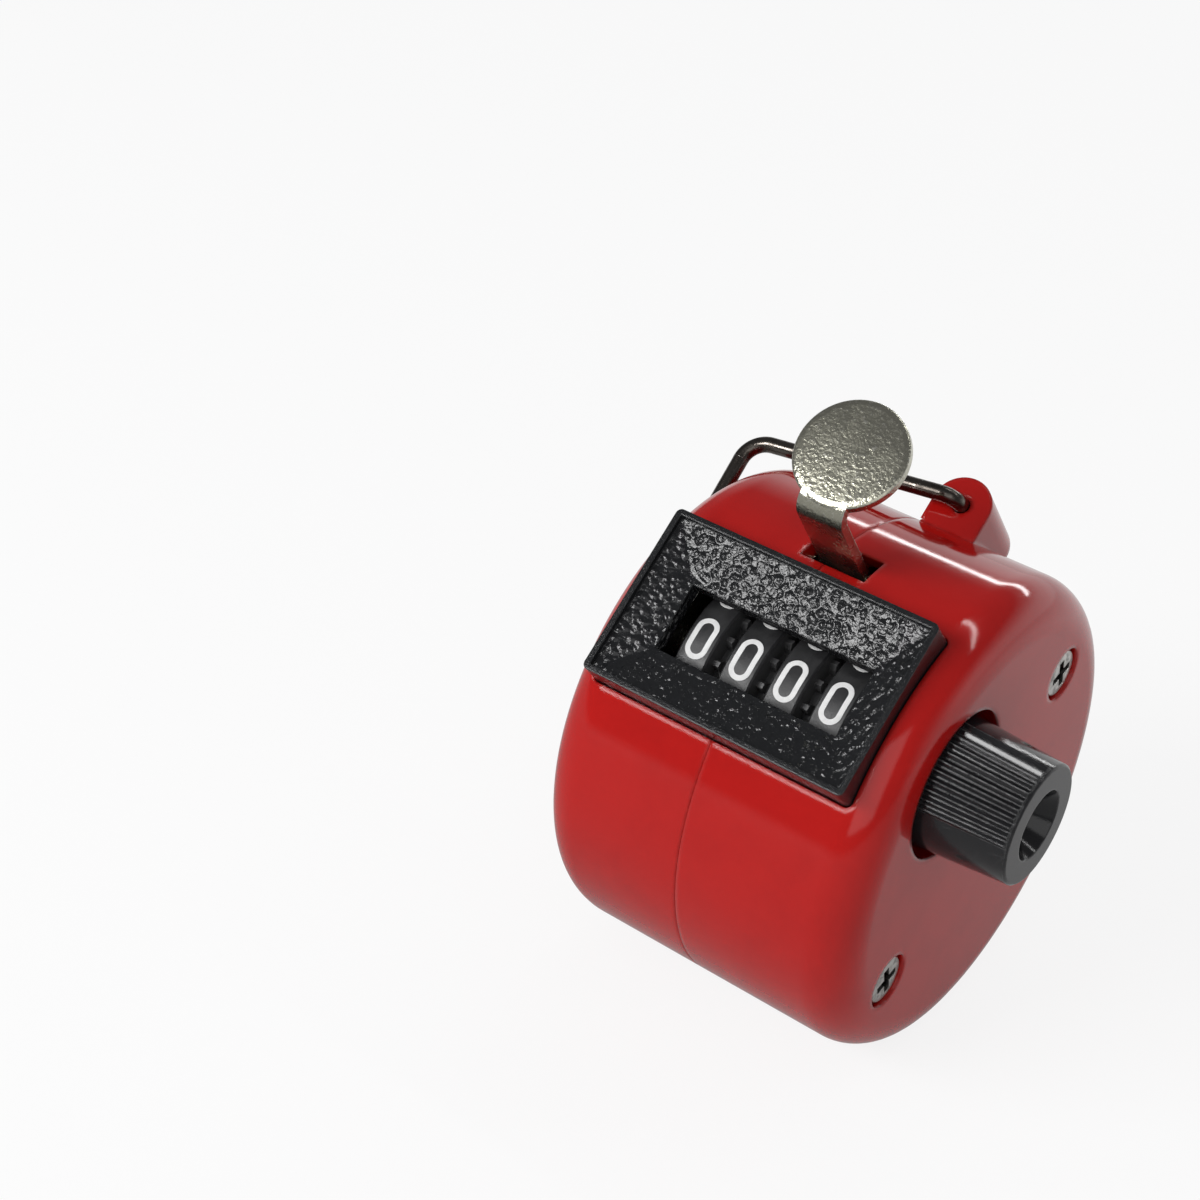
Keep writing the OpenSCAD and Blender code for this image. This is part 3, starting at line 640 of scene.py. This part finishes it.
# Below the rim the flanks get a lighter grey: painted light in the shaded gaps between the wheels.
painted_flank_light = spread(tree, radius, FLANK_FULL, FLANK_ENDS, 1.0, 0.0)
black = layered(tree, WHEEL_BLACK, (smudge, 0.3, WHEEL_DUST), (edge["Rub"], 0.6, WHEEL_DUST),
                (painted_flank_light, 1.0, FLANK_PAINTED_LIGHT))
satin = roughened(tree, WHEEL_ROUGHNESS, (smudge, 0.14))
wire_up(tree, shader, black, satin, skin(tree, spot, size=0.12, depth=0.005, normal=edge["Normal"]))
dress(wheel_black, *(wheel + "_wheel" for wheel in wheels))
print("finish", wheel_black.name)

# %% Digit paint
WHITE = (0.80, 0.80, 0.79, 1)
WHITE_THIN = (0.66, 0.66, 0.66, 1)
PAINT_ROUGHNESS = 0.5

digit_paint, tree, shader, spot, edge = new_finish("white_digit_paint", edge_radius=0.03, IOR=1.45)
patch = use_group(tree, smudges, Place=spot, Size=0.8)["Mask"]
white = layered(tree, WHITE, (patch, 0.6, WHITE_THIN))
matt = roughened(tree, PAINT_ROUGHNESS, (patch, 0.1))
wire_up(tree, shader, white, matt, skin(tree, spot, size=0.1, depth=0.004, normal=edge["Normal"]))
for piece in digit_pieces:
    piece.data.materials.append(digit_paint)
print("finish", digit_paint.name)

# %% [markdown]
# ## Nickel-plated lever
# The lever is stamped from sheet steel and nickel-plated in a barrel with hundreds of others. Tumbling
# leaves the face mottled like orange peel, so it mirrors the room in broken patches. That is mostly a
# bump, and the crests get a lighter colour as painted glints. The press also leaves the round pad very
# slightly crowned.
# Seen as a mirror, a few degrees matter: the upper part shows the dim ceiling and the lower part the
# lamp. So another bump adds the crown, as a height that falls with the square of the distance from the
# pad's middle.

# %% Nickel lever
NICKEL = (0.56, 0.55, 0.45, 1)
NICKEL_DARK = (0.36, 0.35, 0.28, 1)
NICKEL_PAINTED_GLINT = (0.80, 0.79, 0.70, 1)
NICKEL_EDGE = (0.78, 0.77, 0.74, 1)
SHEET_ROUGHNESS = 0.22
PEEL_DEPTH = 0.055
PAD_MIDDLE = (0, 0, 16.4)
CROWN = 0.009

nickel_sheet, tree, shader, spot, edge = new_finish("nickel_plated_sheet", edge_radius=0.14, Metallic=1.0)
peel = noise(tree, spot, Scale=3.0, Detail=2.0, Roughness=0.6)
# The peel's crests get a lighter colour: painted glints.
painted_glint = spread(tree, peel, 0.58, 0.7)
blotch = use_group(tree, smudges, Place=spot, Size=2.5, Sharpness=0.0)["Mask"]
scratch = use_group(tree, hairlines, Place=spot, Length=4.0, Width=0.04, Amount=0.12)["Mask"]
plated = layered(tree, NICKEL, (blotch, 0.4, NICKEL_DARK), (painted_glint, 0.7, NICKEL_PAINTED_GLINT),
                 (edge["Rub"], 0.8, NICKEL_EDGE))
scuffed = roughened(tree, SHEET_ROUGHNESS, (blotch, 0.1), (scratch, 0.2))
from_pad = vector_node(tree, "SUBTRACT", spot, PAD_MIDDLE)["Vector"]
in_face = vector_node(tree, "MULTIPLY", from_pad, (1, 0, 1))["Vector"]
reach_squared = vector_node(tree, "DOT_PRODUCT", in_face, in_face)["Value"]
crowned = bumped(tree, math_node(tree, "MULTIPLY", reach_squared, -CROWN), 1.0, edge["Normal"])
wire_up(tree, shader, plated, scuffed, bumped(tree, peel, PEEL_DEPTH, crowned))
dress(nickel_sheet, "thumb_lever")
print("finish", nickel_sheet.name)

# %% [markdown]
# ## Nickel wire and screws
# The ring is drawn wire, so it is smoother than the sheet, with fine marks from the die and small dark
# stains. The screw heads are cold-headed: their cross recess holds dirt, and drivers have scratched its
# edges. A dark colour is painted by depth, as dirt and as painted shade in the recess: the heads' faces
# lie in one plane, so what lies between that plane and the seat is recess or rim. Both finishes, and the
# steel inside, come from one recipe.

# %% Wire and screws
STEEL_EDGE = (0.80, 0.79, 0.76, 1)
DIRT_AND_SHADE = (0.035, 0.03, 0.026, 1)
HEAD_SEAT = 13.6
HEAD_FACE = 14.65
SEAT_FADE = 0.1
FACE_FADE = 0.3
DIRT_AND_SHADE_STRENGTH = 0.9


def nickel_finish(name, edge_radius, colour, stain_colour, stain_size, stain, roughness, dirt_and_shade_band=None):
    """Plated steel with stains, hairlines and bright edges, and dirt with painted shade between two
    places on x in mm.
    """
    material, tree, shader, spot, edge = new_finish(name, edge_radius, Metallic=1.0)
    blotch = use_group(tree, smudges, Place=spot, Size=stain_size, Sharpness=0.7)["Mask"]
    scratch = use_group(tree, hairlines, Place=spot, Length=2.5, Width=0.03, Amount=0.6)["Mask"]
    metal = layered(tree, colour, (blotch, stain, stain_colour), (edge["Rub"], 0.6, STEEL_EDGE))
    # Between the seat and the face the colour goes dark: dirt, and painted shade in the recess.
    if dirt_and_shade_band is not None:
        seat, face = dirt_and_shade_band
        across = axes_of(tree, spot)["X"]
        past_seat = spread(tree, across, seat, seat + SEAT_FADE)
        under_face = spread(tree, across, face - FACE_FADE, face, DIRT_AND_SHADE_STRENGTH, 0.0)
        metal = layered(tree, metal, (past_seat, under_face, DIRT_AND_SHADE))
    scuffed = roughened(tree, roughness, (blotch, 0.15), (scratch, 0.2))
    wire_up(tree, shader, metal, scuffed, skin(tree, spot, size=0.25, depth=0.004, normal=edge["Normal"]))
    return material


nickel_wire = nickel_finish("nickel_plated_wire", edge_radius=0.05, colour=(0.15, 0.135, 0.12, 1),
                            stain_colour=(0.06, 0.052, 0.045, 1), stain_size=1.2, stain=0.8,
                            roughness=0.16)
screw_steel = nickel_finish("nickel_plated_screw", edge_radius=0.1, colour=(0.62, 0.61, 0.58, 1),
                            stain_colour=(0.22, 0.21, 0.2, 1), stain_size=0.7, stain=0.7, roughness=0.28,
                            dirt_and_shade_band=(HEAD_SEAT, HEAD_FACE))
dress(nickel_wire, "finger_ring")
dress(screw_steel, "case_screws")
print("finishes", nickel_wire.name, screw_steel.name)

# %% [markdown]
# ## The works inside
# Inside are bright drawn pins, darker spring and pawl steel, and carry pinions of natural plastic that
# has gone grey with grease. Hardly any of it shows, but a part should look right when the case is
# opened, so each has a finish.

# %% Pins, springs and pawl
pin_steel = nickel_finish("bright_drawn_steel", edge_radius=0.05, colour=(0.55, 0.55, 0.55, 1),
                          stain_colour=(0.33, 0.31, 0.29, 1), stain_size=1.0, stain=0.5, roughness=0.3)
pawl_steel = nickel_finish("stamped_pawl_steel", edge_radius=0.06, colour=(0.42, 0.42, 0.43, 1),
                           stain_colour=(0.2, 0.19, 0.19, 1), stain_size=0.8, stain=0.6, roughness=0.38)
dress(pin_steel, "pinion_shaft", "wheel_shaft", "shaft_clip", "lever_pins", "pawl_pin")
dress(pawl_steel, "drive_pawl", "lever_spring", "pawl_spring", "backstop_spring")
print("finishes", pin_steel.name, pawl_steel.name)

# %% Carry pinions
PINION = (0.30, 0.295, 0.28, 1)
PINION_OILY = (0.16, 0.15, 0.13, 1)
PINION_ROUGHNESS = 0.48

pinion_white, tree, shader, spot, edge = new_finish("natural_white_plastic", edge_radius=0.06, IOR=1.48)
oil = use_group(tree, smudges, Place=spot, Size=1.2)["Mask"]
greyed = layered(tree, PINION, (oil, 0.6, PINION_OILY))
oiled = roughened(tree, PINION_ROUGHNESS, (oil, -0.15))
wire_up(tree, shader, greyed, oiled, skin(tree, spot, size=0.15, depth=0.004, normal=edge["Normal"]))
dress(pinion_white, *(wheel + "_pinion" for wheel in wheels[:3]))
print("finish", pinion_white.name)

# %% [markdown]
# ## A copy of the lever spring
# One leg of the lever's torsion spring lies on the case and the other hooks round the lever, so its
# coil winds up when the lever is pressed. A rigid spring that rides on the lever would push its lower
# leg through the case. So a copy of its wire takes its place: the copy is baked into the scene's frame,
# and the CAD spring is hidden.

spring_wire = add_object("lever_spring_wire", frame["nodes"]["lever_spring"].data.copy())
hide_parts("lever_spring")
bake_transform(spring_wire)

# %% [markdown]
# ## Floor
# The counter stands on a plain pale floor. A white floor under soft light still renders grey, so the
# floor adds a little light of its own, but only for rays that come straight from the camera or by way
# of a reflection. The object's shadow stays, and no extra light falls on the object. Reflections find
# the floor dimmer in front and paler behind, as in a room that is lit from the back.

# %% Floor
FLOOR_HALF = 3.0
FLOOR_DROP = 0.02 * MM

bm = bmesh.new()
bmesh.ops.create_grid(bm, x_segments=2, y_segments=2, size=FLOOR_HALF)
floor = add_object("studio_floor", mesh_from(bm, "studio_floor"))
floor.location.z = -FLOOR_DROP
print("floor", floor.name)

# %% Floor paper
PAPER = (0.80, 0.80, 0.80, 1)
PAPER_PALE = (0.84, 0.84, 0.84, 1)
GLOW_SHARE = 0.85
GLOW_IN_FRONT = 0.3
GLOW_BEHIND = 0.85


def ray_kinds(tree):
    """Masks of rays straight from the camera, and of rays that a reflection or glass sent on."""
    path = put(tree, "LightPath").outputs
    sent_on = math_node(tree, "MAXIMUM", path["Is Glossy Ray"], path["Is Transmission Ray"])
    return path["Is Camera Ray"], sent_on


floor_paper = bpy.data.materials.new("pale_floor_paper")
floor_paper.use_nodes = True
tree = floor_paper.node_tree
shader = tree.nodes["Principled BSDF"]
shader.inputs["Roughness"].default_value = 0.9
shader.inputs["Specular IOR Level"].default_value = 0.1
floor_place = put(tree, "TexCoord").outputs["Object"]
fibres = noise(tree, floor_place, Scale=900.0, Detail=3.0)
tree.links.new(mix_colours(tree, fibres, PAPER, PAPER_PALE), shader.inputs["Base Color"])
from_camera, mirrored = ray_kinds(tree)
mirrored_glow = spread(tree, axes_of(tree, floor_place)["Y"], -0.02, 0.12, GLOW_IN_FRONT, GLOW_BEHIND)
strength = math_node(tree, "MAXIMUM", from_camera, mirrored_glow)
glow = put(tree, "Emission", {"Color": (1, 1, 1, 1), "Strength": strength})
seen = math_node(tree, "MAXIMUM", from_camera, mirrored)
share = math_node(tree, "MULTIPLY", seen, GLOW_SHARE)
blend = put(tree, "MixShader", {0: share, 1: shader.outputs[0], 2: glow.outputs[0]})
tree.links.new(blend.outputs[0], tree.nodes["Material Output"].inputs["Surface"])
floor.data.materials.append(floor_paper)
print("finish", floor_paper.name)

# %% [markdown]
# ## Room
# A world can look different to each kind of ray. The camera sees a plain white backdrop. Gloss and
# metal mirror a room: one white wall behind, which fades upwards and to the left, and dim surfaces
# elsewhere, so that reflections have soft gradients and not one flat veil. Diffuse light is a plain
# grey.

# %% Room
BACKDROP = (0.97, 0.97, 0.97, 1)
WHITE_WALL = (1.0, 1.0, 1.0, 1)
DIM_ROOM = (0.14, 0.14, 0.145, 1)
DIFFUSE_GREY = (0.36, 0.36, 0.37, 1)

world = bpy.data.worlds.new("pale_studio")
bpy.context.scene.world = world
world.use_nodes = True
tree = world.node_tree
heading = axes_of(tree, put(tree, "TexCoord").outputs["Generated"])
below_top = spread(tree, heading["Z"], 0.2, 0.5, 1.0, 0.0)
behind = spread(tree, heading["Y"], -0.1, 0.5)
right_of_end = spread(tree, heading["X"], -0.75, -0.35)
wall = math_node(tree, "MULTIPLY", below_top, math_node(tree, "MULTIPLY", behind, right_of_end))
room_seen = mix_colours(tree, wall, DIM_ROOM, WHITE_WALL)
from_camera, mirrored = ray_kinds(tree)
lit_or_mirrored = mix_colours(tree, mirrored, DIFFUSE_GREY, room_seen)
room_light = mix_colours(tree, from_camera, lit_or_mirrored, BACKDROP)
background = tree.nodes["Background"]
tree.links.new(room_light, background.inputs["Color"])
background.inputs["Strength"].default_value = 1.0
print("room", world.name)

# %% [markdown]
# ## Lamps
# On gloss, a lamp is seen as a highlight, so each lamp stands where its mirror image is wanted. The key
# box at the front left mirrors into the bezel's upper slope, so that slope sparkles and the lower one
# stays dark. A weak fill from the right keeps the knob's side readable. A narrow strip behind and a
# tube near the ceiling draw the two light lines along the top and the right shoulder of the case.

# %% Lamps
TARGET = (0.0, 0.0, 0.026)


def soft_box(name, location, width, height, power, aim=TARGET):
    """A rectangular lamp that looks at the counter, or at another point."""
    lamp = bpy.data.lights.new(name, "AREA")
    lamp.shape = "RECTANGLE"
    lamp.size = width
    lamp.size_y = height
    lamp.energy = power
    box = add_object(name, lamp)
    box.location = location
    box.rotation_euler = (Vector(aim) - box.location).to_track_quat("-Z", "Y").to_euler()
    return box


lamps = [
    soft_box("key_box", (-0.23, -0.46, 0.34), width=0.34, height=0.18, power=2.6),
    soft_box("fill_box", (0.40, -0.58, 0.41), width=0.60, height=0.60, power=1.0),
    soft_box("rear_strip", (-0.10, 0.74, 0.33), width=0.50, height=0.035, power=0.6),
    soft_box("ceiling_tube", (0.20, 0.37, 0.72), width=0.70, height=0.03, power=0.7,
             aim=(0.20, 0.0, 0.026)),
]
print("lamps:", [lamp.name for lamp in lamps])

# %% [markdown]
# ## Finish
# The view transform is Standard, so a colour renders about as it is written.

# %% Finish
bpy.context.scene.view_settings.view_transform = "Standard"
